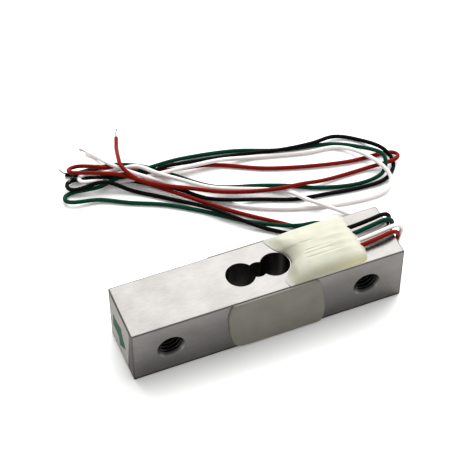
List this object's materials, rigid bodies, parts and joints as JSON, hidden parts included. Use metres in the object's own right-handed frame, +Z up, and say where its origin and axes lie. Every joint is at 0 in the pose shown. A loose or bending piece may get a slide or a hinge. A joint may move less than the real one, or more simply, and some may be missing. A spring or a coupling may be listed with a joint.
{
  "type": "micro load cell",
  "caption": "Aluminium bar load cell with a dog-bone relief hole, sealed strain gauges, tapped end holes and thin lead wires.",
  "frame": {"origin": "centre of the bar's underside footprint, on the surface that it rests on", "axes": "+X along the bar from the labelled end towards the end where the leads leave, -Y is the front face, +Z is up"},
  "size_m": [0.0719, 0.0641, 0.0153],
  "materials": {
    "bar_aluminium": "fine brushed",
    "pad_sealant": "satin",
    "cover_silicone": "satin",
    "gauge_foil": "satin",
    "strip_board": "matt",
    "solder": "bright",
    "copper": "tinned or bare copper",
    "label_film": "matt film",
    "red_insulation": "semi-gloss",
    "black_insulation": "semi-gloss",
    "green_insulation": "semi-gloss",
    "white_insulation": "semi-gloss"
  },
  "bodies": {
    "root": {"back_gauge_cover": "pad_sealant", "black_conductor": "copper", "black_wire": "black_insulation", "end_label": "label_film", "front_gauge_cover": "pad_sealant", "green_conductor": "copper", "green_wire": "green_insulation", "jumper_back_1": "copper", "jumper_back_2": "copper", "jumper_front_1": "copper", "jumper_front_2": "copper", "lead_cover": "cover_silicone", "load_cell_body": "bar_aluminium", "red_conductor": "copper", "red_wire": "red_insulation", "solder_joint_black": "solder", "solder_joint_green": "solder", "solder_joint_red": "solder", "solder_joint_white": "solder", "solder_tabs_back": "copper", "solder_tabs_front": "copper", "strain_gauge_back_left": "gauge_foil", "strain_gauge_back_right": "gauge_foil", "strain_gauge_front_left": "gauge_foil", "strain_gauge_front_right": "gauge_foil", "terminal_strip": "strip_board", "white_conductor": "copper", "white_wire": "white_insulation"}
  },
  "joints": []
}
